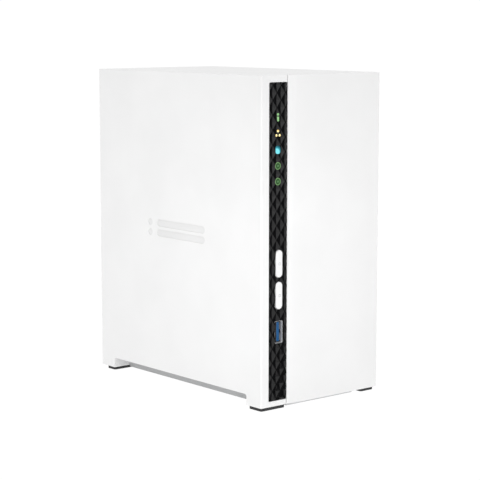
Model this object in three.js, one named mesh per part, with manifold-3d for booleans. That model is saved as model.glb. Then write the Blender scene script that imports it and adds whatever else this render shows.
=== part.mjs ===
// A two-bay desktop network storage unit: a moulded housing in two halves with a narrow control
// column, the electronics on the left, two drives standing side by side, and a fan at the back.
// Millimetres. +X is right seen from the front, the front faces -Y, +Z is up. The origin is the
// middle of the footprint, on the surface that the feet stand on.
import * as THREE from "three";
import { mergeVertices } from "three/addons/utils/BufferGeometryUtils.js";
import Module from "manifold-3d";

const wasm = await Module();
wasm.setup();

// Driving dimensions -----------------------------------------------------------------------------
const WIDTH = 90.18;
const DEPTH = 156.26;
const HEIGHT = 188.64;
const LEFT = -WIDTH / 2;
const RIGHT = WIDTH / 2;
const FRONT = -DEPTH / 2;
const BACK = DEPTH / 2;

const GAP = 0.3; // between pieces that touch
const FINE_GAP = 0.2; // round a light guide or a port in the strip
const OVER = 5; // how far a cutting solid runs past what it cuts
const JOIN = 0.5; // how far solids that become one run into each other

const WALL = 2.2; // housing wall
const EDGE_RADIUS = 0.9; // outer edges of the housing
const SHELL_BOTTOM = 1.9; // lower rim of the housing
const SEAM = LEFT + 19.1; // the plane where the two halves meet
const SEAM_GAP = 0.5;
const PANEL_STEP = 0.8; // the cover's front panel stands this far ahead of the column
const COLUMN = FRONT + PANEL_STEP; // front face of the column
const COLUMN_INSIDE = COLUMN + 3;
const PANEL_INSIDE = FRONT + 3;
const TOP_INSIDE = HEIGHT - WALL;

const LEG = { width: 18.8, top: 9.6, frontEnd: FRONT + 13.5, rearStart: FRONT + 142.4 };
const NOTCH = { top: 8.1, radius: 1.5 }; // the air notch between the legs of a side
const PANEL = { front: BACK - 3.1, back: BACK - 1.5 }; // the rear panel's two faces
const BEHIND_PANEL = PANEL.front - GAP; // how far back the inner pieces reach

const STRIP = { left: LEFT + 5.7, bottom: 4.95, top: 184.6, depth: 1.5, radius: 0.8 };
const STRIP_FACE = COLUMN + 0.15;
const STRIP_REAR = COLUMN + 1.2;

const BOARD = { left: LEFT + 16.6, right: LEFT + 18.2, front: FRONT + 8, back: 71, bottom: 15, top: 176 };
const ON_BOARD = BOARD.left - GAP; // where the parts on the board's left face end
const BOARD_POSTS = [[-58, 24], [50, 24], [-58, 168], [50, 168]]; // y, z

const BUTTON = { x: LEFT + 13.3, width: 4.7, height: 15.6, proud: 0.45, clearance: 0.25 };
const BUTTON_HEIGHTS = { power_button: 83.2, copy_button: 65.15 };
const SWITCH_NAMES = { power_button: "power_switch", copy_button: "copy_switch" };

const LIGHT_X = LEFT + 12.5;
const LIGHTS = { status: 165.2, network: 156.3, usb: 147.2, drive_1: 138.2, drive_2: 129.5 };

const USB = { width: 5.9, height: 13, wall: 0.45, length: 14 };
const FRONT_USB = { x: LEFT + 13.5, z: 44.2, mouth: COLUMN + 0.6 };
const REAR_USB = { x: LEFT + 13.3, mouth: PANEL.back + 0.4, heights: { a: 106, b: 86 } };

const JACK = { x: [LEFT + 3.2, ON_BOARD], z: [54, 70.2], y: [61, PANEL.back + 0.4] };
const INLET = { x: LEFT + 10.8, z: 36.5, side: 11, nose: 4.6, bore: 3.2, face: PANEL.back + 0.3 };
const RESET = { x: LEFT + 13.3, z: 122, radius: 1.5, front: 69.6, face: PANEL.front - 0.5 };
const LOCK_SLOT = { x: LEFT + 11, z: 146, width: 3, height: 7 };

const CAGE = { left: LEFT + 20, right: LEFT + 87, front: -72, back: 36, bottom: 11.9, top: 170, sheet: 1 };
const DIVIDER = (CAGE.left + CAGE.right) / 2;
const BAY_HALF = (CAGE.right - CAGE.left) / 4;
const DRIVES = { drive_1: DIVIDER - BAY_HALF, drive_2: DIVIDER + BAY_HALF };
const DRIVE = { thick: 26.1, front: -69, back: 32.6, bottom: 20, top: 167 };
const BACKPLANE = { bottom: 13.2, top: 14.8, front: -35, back: 5 };

const FAN = { x: LEFT + 53.5, z: 118, side: 60, front: 49.4, back: 74.4, bore: 28.6, holes: 25 };
const SCREW = { shank: 1.3, hole: 1.7, head: 2.9, headThick: 1.1, tip: 65 };
const POST = { x: RIGHT - WALL - 4.6, z: TOP_INSIDE - 5, side: 9.6, front: 64 };
const COVER_SCREWS = { upper: [POST.x, POST.z], lower: [RIGHT - LEG.width / 2, 6.4] }; // x, z

// Finishes ---------------------------------------------------------------------------------------
const finish = (color, roughness, metalness = 0) =>
  new THREE.MeshStandardMaterial({ color, roughness, metalness });
const WHITE_PLASTIC = finish(0xf3f3f2, 0.5);
const BLACK_GLOSS = finish(0x151517, 0.25);
const BLACK_PLASTIC = finish(0x1c1c1e, 0.6);
const GREY_PLASTIC = finish(0xb9babb, 0.6);
const WHITE_METAL = finish(0xe6e6e4, 0.5, 0.2);
const RUBBER = finish(0x2b2b2c, 0.9);
const STEEL = finish(0xb8babd, 0.35, 1);
const BLUE_PLASTIC = finish(0x1c6fc4, 0.45);
const GREEN_BOARD = finish(0x17512f, 0.5);
const CAST_ALUMINIUM = finish(0xa9abae, 0.45, 1);
const GREEN_LIGHT = finish(0x8fe08f, 0.4);
const AMBER_LIGHT = finish(0xe0a33c, 0.4);
const BLUE_LIGHT = finish(0x2fa8dd, 0.4);

// Outlines ---------------------------------------------------------------------------------------
const QUARTER = Math.PI / 2;

// An outline without the doubled points that arcs leave where they meet.
function cleaned(shape, segments) {
  const apart = 1e-4;
  const points = shape
    .getPoints(segments)
    .filter((p, i, all) => p.distanceTo(all[(i + 1) % all.length]) > apart);
  return new THREE.Shape(points);
}

// A rectangle with rounded corners, over the spans [low, high] of its two axes.
function rounded([a0, a1], [b0, b1], radius, segments = 3) {
  const shape = new THREE.Shape();
  shape.absarc(a1 - radius, b0 + radius, radius, -QUARTER, 0);
  shape.absarc(a1 - radius, b1 - radius, radius, 0, QUARTER);
  shape.absarc(a0 + radius, b1 - radius, radius, QUARTER, 2 * QUARTER);
  shape.absarc(a0 + radius, b0 + radius, radius, 2 * QUARTER, 3 * QUARTER);
  return cleaned(shape, segments);
}

// A regular polygon, which stands for a circle when it has many sides.
function polygon(a, b, radius, sides, turn = 0) {
  const points = Array.from({ length: sides }, (_, i) => {
    const angle = turn + (2 * Math.PI * i) / sides;
    return new THREE.Vector2(a + radius * Math.cos(angle), b + radius * Math.sin(angle));
  });
  return new THREE.Shape(points);
}

const span = (middle, size) => [middle - size / 2, middle + size / 2];

// Solids -----------------------------------------------------------------------------------------
function solidOf(geometry) {
  const bare = new THREE.BufferGeometry();
  bare.setAttribute("position", geometry.getAttribute("position"));
  bare.setIndex(geometry.index);
  const merged = mergeVertices(bare, 1e-4);
  const vertProperties = new Float32Array(merged.getAttribute("position").array);
  const triVerts = new Uint32Array(merged.index.array);
  return new wasm.Manifold(new wasm.Mesh({ numProp: 3, vertProperties, triVerts }));
}

function block([x0, x1], [y0, y1], [z0, z1]) {
  const box = new THREE.BoxGeometry(x1 - x0, y1 - y0, z1 - z0);
  return solidOf(box.translate((x0 + x1) / 2, (y0 + y1) / 2, (z0 + z1) / 2));
}

// Each axis that an outline is pushed along, with the two axes that the outline is drawn on.
const ALONG = {
  x: [new THREE.Vector3(0, 1, 0), new THREE.Vector3(0, 0, 1), new THREE.Vector3(1, 0, 0)],
  y: [new THREE.Vector3(1, 0, 0), new THREE.Vector3(0, 0, 1), new THREE.Vector3(0, -1, 0)],
  z: [new THREE.Vector3(1, 0, 0), new THREE.Vector3(0, 1, 0), new THREE.Vector3(0, 0, 1)],
};

// An outline drawn on (y, z), (x, z) or (x, y) and pushed along x, y or z from low to high.
function prism(axis, shape, [low, high]) {
  const geometry = new THREE.ExtrudeGeometry(shape, { depth: high - low, bevelEnabled: false });
  const start = ALONG[axis][2].clone().multiplyScalar(axis === "y" ? -high : low);
  const frame = new THREE.Matrix4().makeBasis(...ALONG[axis]).setPosition(start);
  return solidOf(geometry.applyMatrix4(frame));
}

const rod = (axis, [a, b], radius, reach, sides = 16) =>
  prism(axis, polygon(a, b, radius, sides, Math.PI / sides), reach);

const join = (first, ...others) => others.reduce((whole, next) => whole.add(next), first);
const cut = (whole, ...others) => others.reduce((left, next) => left.subtract(next), whole);

function geometryOf(solid) {
  const mesh = solid.getMesh();
  const geometry = new THREE.BufferGeometry();
  geometry.setAttribute("position", new THREE.BufferAttribute(mesh.vertProperties, 3));
  geometry.setIndex(new THREE.BufferAttribute(mesh.triVerts, 1));
  const faceted = geometry.toNonIndexed();
  faceted.computeVertexNormals();
  return faceted;
}

function piece(name, solid, material) {
  const mesh = new THREE.Mesh(geometryOf(solid), material);
  mesh.name = name;
  return mesh;
}

function assembly(...pieces) {
  const group = new THREE.Group();
  group.add(...pieces.flat());
  return group;
}

// Housing ----------------------------------------------------------------------------------------
// The whole housing as a solid block with rounded edges, with its front face at the given depth.
function housingBlock(front) {
  const below = SHELL_BOTTOM - OVER;
  const outline = (across, along) => rounded(across, along, EDGE_RADIUS, 6);
  const seenFromFront = outline([LEFT, RIGHT], [below, HEIGHT]);
  const seenFromSide = outline([front, BACK], [below, HEIGHT]);
  const seenFromAbove = outline([LEFT, RIGHT], [front, BACK]);
  return prism("y", seenFromFront, [front, BACK])
    .intersect(prism("x", seenFromSide, [LEFT, RIGHT]))
    .intersect(prism("z", seenFromAbove, [SHELL_BOTTOM, HEIGHT]));
}

const sideNotch = (reach) =>
  prism("x", rounded([LEG.frontEnd, LEG.rearStart], [-OVER, NOTCH.top], NOTCH.radius), reach);

// A leg is a box that is open at the top. Its outer walls are the housing's own.
function leg([x0, x1], [y0, y1]) {
  const hollow = block([x0 + WALL, x1 - WALL], [y0 + WALL, y1 - WALL], [SHELL_BOTTOM + WALL, HEIGHT]);
  return cut(block([x0, x1], [y0, y1], [SHELL_BOTTOM, LEG.top]), hollow);
}

const legPair = (across, front) =>
  join(leg(across, [front, LEG.frontEnd]), leg(across, [LEG.rearStart, BEHIND_PANEL]));

// A plain storage symbol: two rows, each of a long bar and a dot.
function sunkenMark() {
  const depth = 0.35;
  const bar = { height: 4.2, from: FRONT + 51, to: FRONT + 97 };
  const dotY = FRONT + 103.5;
  const across = [LEFT - OVER, LEFT + depth];
  const rows = [92.2, 98.2].map((z) =>
    join(
      prism("x", rounded([bar.from, bar.to], span(z, bar.height), bar.height / 2.01, 6), across),
      rod("x", [dotY, z], bar.height / 2, across, 24),
    ),
  );
  return join(...rows);
}

// Everything on one side of the seam, which the other half of the housing is cut back to.
const besideSeam = (across) =>
  block(across, [FRONT - OVER, BACK + OVER], [-OVER, HEIGHT + OVER]);

// The narrow strips under the cover's edge, along the top and down the front.
function seamLedges() {
  const thick = 1.2;
  const across = [SEAM - 1.5, SEAM + 3.5];
  const ledgeTop = TOP_INSIDE - GAP;
  const ledgeFront = PANEL_INSIDE + GAP;
  const along = [ledgeFront, BEHIND_PANEL];
  const top = block(across, along, [ledgeTop - thick, ledgeTop]);
  const web = block([across[0], SEAM - SEAM_GAP], along, [ledgeTop - thick, TOP_INSIDE + JOIN]);
  const front = block(across, [ledgeFront, ledgeFront + thick + JOIN], [SHELL_BOTTOM + WALL, ledgeTop]);
  return join(top, web, front);
}

function columnOpenings() {
  const through = [COLUMN - OVER, COLUMN_INSIDE + OVER];
  const lightWindow = rounded(span(LIGHT_X, 5.6), [LIGHTS.drive_2 - 3.3, LIGHTS.status + 3.3], 1);
  const portWindow = rounded(
    span(FRONT_USB.x, USB.width + 2 * GAP),
    span(FRONT_USB.z, USB.height + 2 * GAP),
    0.5,
  );
  const buttonHoles = Object.values(BUTTON_HEIGHTS).map((z) => pill(z, BUTTON.clearance, through));
  return join(prism("y", lightWindow, through), prism("y", portWindow, through), ...buttonHoles);
}

// The outline of a long button, wider all round by extra.
function pill(z, extra, reach) {
  const width = BUTTON.width + 2 * extra;
  const height = BUTTON.height + 2 * extra;
  return prism("y", rounded(span(BUTTON.x, width), span(z, height), width / 2.01, 4), reach);
}

function leftShell() {
  const cavity = block([LEFT + WALL, RIGHT], [COLUMN_INSIDE, BACK + OVER], [-OVER, TOP_INSIDE]);
  const pocket = prism(
    "y",
    rounded([STRIP.left, SEAM + OVER], [STRIP.bottom, STRIP.top], STRIP.radius),
    [COLUMN - OVER, COLUMN + STRIP.depth],
  );
  const outer = cut(housingBlock(COLUMN), besideSeam([SEAM - SEAM_GAP / 2, RIGHT + OVER]));
  const walls = cut(outer, cavity, sideNotch([LEFT - OVER, LEFT + WALL + OVER]));
  const legs = legPair([LEFT, LEFT + LEG.width], COLUMN).intersect(outer);
  const postReach = [LEFT + WALL - JOIN, ON_BOARD];
  const posts = BOARD_POSTS.map((place) => rod("x", place, 3, postReach, 10));
  const whole = join(walls, legs, seamLedges(), ...posts);
  return cut(whole, pocket, columnOpenings(), sunkenMark());
}

// The cover's front panel falls back to the column's face in a shallow bevel beside the seam.
function panelBevel() {
  const width = 6.5;
  const bevel = new THREE.Shape([
    new THREE.Vector2(SEAM - OVER, FRONT - OVER),
    new THREE.Vector2(SEAM + width, FRONT - OVER),
    new THREE.Vector2(SEAM + width, FRONT),
    new THREE.Vector2(SEAM, COLUMN),
    new THREE.Vector2(SEAM - OVER, COLUMN),
  ]);
  return prism("z", bevel, [-OVER, HEIGHT + OVER]);
}

function rightCover() {
  const cavity = block([LEFT, RIGHT - WALL], [PANEL_INSIDE, BACK + OVER], [-OVER, TOP_INSIDE]);
  const otherHalf = besideSeam([LEFT - OVER, SEAM + SEAM_GAP / 2]);
  const outer = cut(housingBlock(FRONT), otherHalf, panelBevel());
  const walls = cut(outer, cavity, sideNotch([RIGHT - WALL - OVER, RIGHT + OVER]));
  const legs = legPair([RIGHT - LEG.width, RIGHT], FRONT).intersect(outer);
  const post = block(
    [POST.x - POST.side / 2, RIGHT - WALL + JOIN],
    [POST.front, BEHIND_PANEL],
    [POST.z - POST.side / 2, TOP_INSIDE + JOIN],
  );
  const holes = Object.values(COVER_SCREWS).map((place) =>
    rod("y", place, SCREW.hole, [POST.front - OVER, BEHIND_PANEL + JOIN], 12),
  );
  return cut(join(walls, legs, post), ...holes);
}

// Where a light guide shows through the strip, as outlines grown by extra.
function lightOutlines(name, extra) {
  const z = LIGHTS[name];
  const dot = (dx, dz, radius, sides = 10) =>
    polygon(LIGHT_X + dx, z + dz, radius + extra, sides, Math.PI / sides);
  if (name === "status") {
    const bar = rounded(span(LIGHT_X, 1.6 + 2 * extra), span(z - 0.95, 2.8 + 2 * extra), 0.6);
    return [dot(0, 1.6, 0.8), bar];
  }
  if (name === "network") return [dot(0, 1.3, 0.7), dot(-1.2, -1.1, 0.7), dot(1.2, -1.1, 0.7)];
  if (name === "usb") return [rounded(span(LIGHT_X, 3.6 + 2 * extra), span(z, 4.6 + 2 * extra), 1.5)];
  return [dot(0, 0, 2.1, 20)];
}

function bezelStrip() {
  const reach = [STRIP_FACE, STRIP_REAR];
  const through = [COLUMN - OVER, COLUMN + OVER];
  const edge = 0.2;
  const across = [STRIP.left + edge, SEAM + SEAM_GAP / 2 - GAP];
  const body = prism("y", rounded(across, [STRIP.bottom + edge, STRIP.top - edge], STRIP.radius), reach);
  const lights = Object.keys(LIGHTS).flatMap((name) =>
    lightOutlines(name, FINE_GAP).map((shape) => prism("y", shape, through)),
  );
  const buttons = Object.values(BUTTON_HEIGHTS).map((z) => pill(z, BUTTON.clearance, through));
  const port = rounded(
    span(FRONT_USB.x, USB.width + 2 * FINE_GAP),
    span(FRONT_USB.z, USB.height + 2 * FINE_GAP),
    0.4,
  );
  return cut(body, ...lights, ...buttons, prism("y", port, through));
}

// The floor of the unit. Its left wing reaches out between the left legs. On the right it stays
// inside the legs' path, so that the cover can slide off forwards.
function baseTray() {
  const floor = [0.9, 2.9];
  const lipTop = 1.6;
  const sheet = 1.6;
  const flange = [10, CAGE.bottom - GAP];
  const between = [LEG.frontEnd + JOIN, LEG.rearStart - JOIN];
  const left = LEFT + 11.6;
  const right = RIGHT - LEG.width - JOIN;
  const inner = [LEFT + LEG.width + JOIN, right];
  const wall = (x) => block([x, x + sheet], between, [floor[0], flange[1]]);
  const ribs = [-45, 20].map((y) => block([left, right], span(y, 2), [floor[0], flange[1]]));
  const whole = join(
    block(inner, [PANEL_INSIDE + GAP + 1.5, BEHIND_PANEL], floor),
    block(inner, [FRONT + 1.2, PANEL_INSIDE + OVER], [floor[0], lipTop]),
    block([left, right], between, floor),
    wall(left),
    wall(right - sheet),
    block([LEFT + WALL + GAP, left + sheet], between, flange),
    block([right - sheet, RIGHT - WALL - GAP], between, flange),
    ...ribs,
  );
  return cut(whole, ...airSlots(left, right));
}

// Slots in the tray's flanges, which let the air up from the side notches.
function airSlots(left, right) {
  const slots = { count: 12, width: 3.6, pitch: 10, start: LEG.frontEnd + 7.5 };
  const height = [LEG.top, CAGE.bottom];
  const sides = [[LEFT + WALL + 1.5, left - 1], [right + 1, RIGHT - WALL - 2.5]];
  return sides.flatMap((across) =>
    Array.from({ length: slots.count }, (_, i) =>
      block(across, span(slots.start + i * slots.pitch, slots.width), height),
    ),
  );
}

// Six-sided holes on a triangular lattice, inside the fan's circle.
function fanGrille(reach) {
  const hole = { radius: 3.5, pitch: 7.6, limit: 25.4 };
  const rowStep = hole.pitch * Math.sin(Math.PI / 3);
  const holes = [];
  for (let row = -4; row <= 4; row += 1) {
    for (let column = -4; column <= 4; column += 1) {
      const x = (column + (row % 2 ? 0.5 : 0)) * hole.pitch;
      const z = row * rowStep;
      if (Math.hypot(x, z) < hole.limit) {
        holes.push(prism("y", polygon(FAN.x + x, FAN.z + z, hole.radius, 6, Math.PI / 6), reach));
      }
    }
  }
  return holes;
}

function fanScrewPlaces() {
  const corners = { upper_left: [-1, 1], upper_right: [1, 1], lower_left: [-1, -1], lower_right: [1, -1] };
  return Object.entries(corners).map(([name, [sx, sz]]) => [
    name,
    [FAN.x + sx * FAN.holes, FAN.z + sz * FAN.holes],
  ]);
}

function rearPanel() {
  const reach = [PANEL.front, PANEL.back];
  const through = [PANEL.front - 1, PANEL.back + 1];
  const window = (across, up, radius) => prism("y", rounded(across, up, radius), through);
  const inside = WALL + GAP;
  const plate = block([LEFT + inside, RIGHT - inside], reach, [SHELL_BOTTOM, TOP_INSIDE - GAP]);
  const ports = Object.values(REAR_USB.heights).map((z) =>
    window(span(REAR_USB.x, USB.width + 2 * GAP), span(z, USB.height + 2 * GAP), 0.5),
  );
  const jack = window(
    [JACK.x[0] - GAP, JACK.x[1] + GAP],
    [JACK.z[0] - GAP, JACK.z[1] + GAP],
    0.4,
  );
  const screws = [...fanScrewPlaces().map(([, place]) => place), ...Object.values(COVER_SCREWS)];
  return cut(
    plate,
    ...ports,
    jack,
    rod("y", [INLET.x, INLET.z], INLET.nose + GAP, through, 24),
    rod("y", [RESET.x, RESET.z], 1.1, through, 12),
    window(span(LOCK_SLOT.x, LOCK_SLOT.width), span(LOCK_SLOT.z, LOCK_SLOT.height), 1.2),
    ...screws.map((place) => rod("y", place, SCREW.hole, through, 12)),
    ...fanGrille(through),
  );
}

function foot(across, along) {
  const top = SHELL_BOTTOM - GAP;
  return prism("z", rounded(across, along, 1.5), [0, top]);
}

function housing() {
  const frontRow = [FRONT + 1.4, FRONT + 12.4];
  const rearRow = [FRONT + 143.5, FRONT + 151.5];
  const rightFeet = [RIGHT - 11.8, RIGHT - 1.4];
  return assembly(
    piece("left_shell", leftShell(), WHITE_PLASTIC),
    piece("right_cover", rightCover(), WHITE_PLASTIC),
    piece("bezel_strip", bezelStrip(), BLACK_GLOSS),
    piece("base_tray", baseTray(), GREY_PLASTIC),
    piece("rear_panel", rearPanel(), WHITE_METAL),
    piece("front_left_foot", foot([LEFT + 0.7, LEFT + 18.7], frontRow), RUBBER),
    piece("rear_left_foot", foot([LEFT + 0.9, LEFT + 15.9], rearRow), RUBBER),
    piece("front_right_foot", foot(rightFeet, frontRow), RUBBER),
    piece("rear_right_foot", foot(rightFeet, rearRow), RUBBER),
  );
}

// Front controls and lights ----------------------------------------------------------------------
const STEM = { radius: 1.3, end: COLUMN + 8 };
const SWITCH = { front: COLUMN + 6.5, back: COLUMN + 12.5, side: 6, socket: 2.6 };

// A long cap, a flange behind the column's wall, and a stem that works the switch.
function longButton(z) {
  const flangeFront = COLUMN_INSIDE + GAP;
  const flangeBack = flangeFront + 1.2;
  return join(
    pill(z, 0, [COLUMN - BUTTON.proud, flangeFront + JOIN]),
    pill(z, 0.8, [flangeFront, flangeBack]),
    rod("y", [BUTTON.x, z], STEM.radius, [flangeBack - JOIN, STEM.end], 12),
  );
}

function buttonSwitch(z) {
  const body = block(
    [BUTTON.x - SWITCH.side / 2, ON_BOARD],
    [SWITCH.front, SWITCH.back],
    span(z, SWITCH.side),
  );
  const socket = [SWITCH.front - OVER, SWITCH.front + SWITCH.socket];
  return cut(body, rod("y", [BUTTON.x, z], STEM.radius + GAP, socket, 12));
}

// A clear moulding: the shapes that show in the strip, a plate behind it, and a stem to the board.
function lightGuide(name) {
  const z = LIGHTS[name];
  const plate = block(span(LIGHT_X, 5), [COLUMN + STRIP.depth, COLUMN_INSIDE], span(z, 6));
  const stem = block(span(LIGHT_X, 2), [COLUMN_INSIDE - JOIN, COLUMN + 9], span(z, 2));
  const shapes = lightOutlines(name, 0).map((shape) =>
    prism("y", shape, [STRIP_FACE, COLUMN + STRIP.depth + JOIN]),
  );
  const guide = join(plate, stem, ...shapes);
  return name.startsWith("drive") ? cut(guide, ringGroove(z)) : guide;
}

// The groove that leaves a ring round a dot on a drive's light.
function ringGroove(z) {
  const reach = [STRIP_FACE - OVER, STRIP_FACE + 0.35];
  return cut(rod("y", [LIGHT_X, z], 1.5, reach, 20), rod("y", [LIGHT_X, z], 0.7, reach, 12));
}

// A USB-A port: a thin folded shell and a tongue on a block inside it. Its mouth faces the front
// when facing is 1 and the back when it is -1.
function usbShell(x, z, mouth, facing) {
  const ends = (from, to) => [mouth + facing * from, mouth + facing * to].sort((a, b) => a - b);
  const inner = { width: USB.width - 2 * USB.wall, height: USB.height - 2 * USB.wall };
  return cut(
    prism("y", rounded(span(x, USB.width), span(z, USB.height), 0.4, 1), ends(0, USB.length)),
    block(span(x, inner.width), ends(-OVER, USB.length - USB.wall), span(z, inner.height)),
  );
}

function usbTongue(x, z, mouth, facing) {
  const ends = (from, to) => [mouth + facing * from, mouth + facing * to].sort((a, b) => a - b);
  const room = USB.wall + GAP;
  const base = block(
    span(x, USB.width - 2 * room),
    ends(USB.length - 4, USB.length - room),
    span(z, USB.height - 2 * room),
  );
  const tongueLeft = x - USB.width / 2 + room + 0.35;
  const tongue = block([tongueLeft, tongueLeft + 1.9], ends(1.2, USB.length - 3), span(z, 11.2));
  return join(base, tongue);
}

function frontControls() {
  const { x, z, mouth } = FRONT_USB;
  const colours = { status: GREEN_LIGHT, network: AMBER_LIGHT, usb: BLUE_LIGHT };
  return assembly(
    Object.entries(BUTTON_HEIGHTS).map(([name, height]) =>
      piece(name, longButton(height), WHITE_PLASTIC),
    ),
    Object.entries(BUTTON_HEIGHTS).map(([name, height]) =>
      piece(SWITCH_NAMES[name], buttonSwitch(height), BLACK_PLASTIC),
    ),
    Object.keys(LIGHTS).map((name) =>
      piece(`${name}_light_guide`, lightGuide(name), colours[name] ?? GREEN_LIGHT),
    ),
    piece("front_usb_shell", usbShell(x, z, mouth, 1), STEEL),
    piece("front_usb_tongue", usbTongue(x, z, mouth, 1), BLUE_PLASTIC),
  );
}

// Electronics ------------------------------------------------------------------------------------
function mainBoard() {
  const plate = block([BOARD.left, BOARD.right], [BOARD.front, BOARD.back], [BOARD.bottom, BOARD.top]);
  const holes = BOARD_POSTS.map((place) => rod("x", place, 1.6, [BOARD.left - 1, BOARD.right + 1], 8));
  return cut(plate, ...holes);
}

function heatSink() {
  const base = { thick: 1.8, y: [-20, 20], z: [96, 136] };
  const fins = { count: 8, thick: 1.4, reach: 7 };
  const step = (base.z[1] - base.z[0] - fins.thick) / (fins.count - 1);
  const baseLeft = ON_BOARD - base.thick;
  const solids = Array.from({ length: fins.count }, (_, i) => {
    const low = base.z[0] + i * step;
    return block([baseLeft - fins.reach, baseLeft + JOIN], base.y, [low, low + fins.thick]);
  });
  return join(block([baseLeft, ON_BOARD], base.y, base.z), ...solids);
}

const memoryChip = (z) => block([ON_BOARD - 1.1, ON_BOARD], [26, 38], [z, z + 9]);

// An eight-contact network socket, with the recess for the plug's latch towards the board.
function networkJack() {
  const body = block(JACK.x, JACK.y, JACK.z);
  const middle = (JACK.z[0] + JACK.z[1]) / 2;
  const reach = [JACK.y[1] - 12, JACK.y[1] + OVER];
  const mouth = block([JACK.x[0] + 2, JACK.x[0] + 9], reach, span(middle, 11.8));
  const latch = block([JACK.x[0] + 8, JACK.x[0] + 11.4], reach, span(middle, 6));
  return cut(body, mouth, latch);
}

function powerInlet() {
  const front = PANEL.front - 12;
  const body = block(span(INLET.x, INLET.side), [front, BEHIND_PANEL], span(INLET.z, INLET.side));
  const nose = rod("y", [INLET.x, INLET.z], INLET.nose, [BEHIND_PANEL - JOIN, INLET.face], 24);
  const bore = rod("y", [INLET.x, INLET.z], INLET.bore, [front + 3, INLET.face + OVER], 24);
  return cut(join(body, nose), bore);
}

const inletPin = () =>
  rod("y", [INLET.x, INLET.z], 1, [PANEL.front - 9 + GAP, INLET.face - 0.8], 12);

const resetButton = () => rod("y", [RESET.x, RESET.z], RESET.radius, [RESET.front, RESET.face], 12);

function resetSwitch() {
  const back = 72;
  const body = block([RESET.x - 3, ON_BOARD], [64, back], span(RESET.z, 6));
  const socket = [RESET.front - 0.9, back + OVER];
  return cut(body, rod("y", [RESET.x, RESET.z], RESET.radius + GAP, socket, 12));
}

// The board under the drives, and the socket that each drive plugs down onto.
const backplaneBoard = () =>
  block(
    [BOARD.right + GAP, CAGE.right - 3],
    [BACKPLANE.front, BACKPLANE.back],
    [BACKPLANE.bottom, BACKPLANE.top],
  );

function driveSocket(bay) {
  const middle = bay - 6;
  const height = [BACKPLANE.top + GAP, DRIVE.bottom - GAP];
  const body = block(span(middle, 5.6), [-31, 2], height);
  const slot = block(span(middle, 2), [-29, 0], [height[0] + 1, height[1] + OVER]);
  return cut(body, slot);
}

function electronics() {
  const usbPorts = Object.entries(REAR_USB.heights).flatMap(([name, z]) => [
    piece(`rear_usb_${name}_shell`, usbShell(REAR_USB.x, z, REAR_USB.mouth, -1), STEEL),
    piece(`rear_usb_${name}_tongue`, usbTongue(REAR_USB.x, z, REAR_USB.mouth, -1), BLACK_PLASTIC),
  ]);
  return assembly(
    piece("main_board", mainBoard(), GREEN_BOARD),
    piece("heat_sink", heatSink(), CAST_ALUMINIUM),
    piece("memory_chip_a", memoryChip(100), BLACK_PLASTIC),
    piece("memory_chip_b", memoryChip(114), BLACK_PLASTIC),
    piece("clock_battery", rod("x", [-38, 150], 10, [ON_BOARD - 3.2, ON_BOARD], 24), STEEL),
    piece("network_jack", networkJack(), STEEL),
    usbPorts,
    piece("power_inlet", powerInlet(), BLACK_PLASTIC),
    piece("power_inlet_pin", inletPin(), STEEL),
    piece("reset_button", resetButton(), BLACK_PLASTIC),
    piece("reset_switch", resetSwitch(), BLACK_PLASTIC),
    piece("backplane_board", backplaneBoard(), GREEN_BOARD),
    Object.entries(DRIVES).map(([name, bay]) =>
      piece(`${name}_socket`, driveSocket(bay), BLACK_PLASTIC),
    ),
  );
}

// Drives -----------------------------------------------------------------------------------------
// Folded sheet with a floor, two sides and a divider, open at the top for the carriers.
function driveCage() {
  const { left, right, front, back, bottom, top, sheet } = CAGE;
  const plate = (x) => block([x, x + sheet], [front, back], [bottom, top]);
  const slots = [-52, -30, -8, 14].map((y) =>
    prism("x", rounded(span(y, 11), [50, 140], 3, 1), [left - OVER, right + OVER]),
  );
  const whole = join(
    plate(left),
    plate(right - sheet),
    plate(DIVIDER - sheet / 2),
    block([left, right], [front, back], [bottom, bottom + sheet]),
  );
  const boardGap = block(
    [left - OVER, right - 2 * sheet],
    [BACKPLANE.front - GAP, BACKPLANE.back + GAP],
    [bottom + sheet, DRIVE.bottom],
  );
  return cut(whole, boardGap, ...slots);
}

// The cast base of a drive is open on its right, under the lid.
function driveBody(bay) {
  const left = bay - DRIVE.thick / 2 + 2.4;
  const right = bay + DRIVE.thick / 2 - 1.5;
  const rim = 4;
  return cut(
    block([left, right], [DRIVE.front, DRIVE.back], [DRIVE.bottom, DRIVE.top]),
    block(
      [right - 10, right + OVER],
      [DRIVE.front + rim, DRIVE.back - rim],
      [DRIVE.bottom + rim, DRIVE.top - rim],
    ),
  );
}

function driveLid(bay) {
  const right = bay + DRIVE.thick / 2;
  const inset = 1.5;
  const along = [DRIVE.front + inset, DRIVE.back - inset];
  const outline = rounded(along, [DRIVE.bottom + inset, DRIVE.top - inset], 4);
  return prism("x", outline, [right - 1.5 + GAP, right]);
}

function driveBoard(bay) {
  const left = bay - DRIVE.thick / 2;
  return block([left + 0.5, left + 2.1], [DRIVE.front + 9, DRIVE.back - 9], [DRIVE.bottom + 2, 100]);
}

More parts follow.
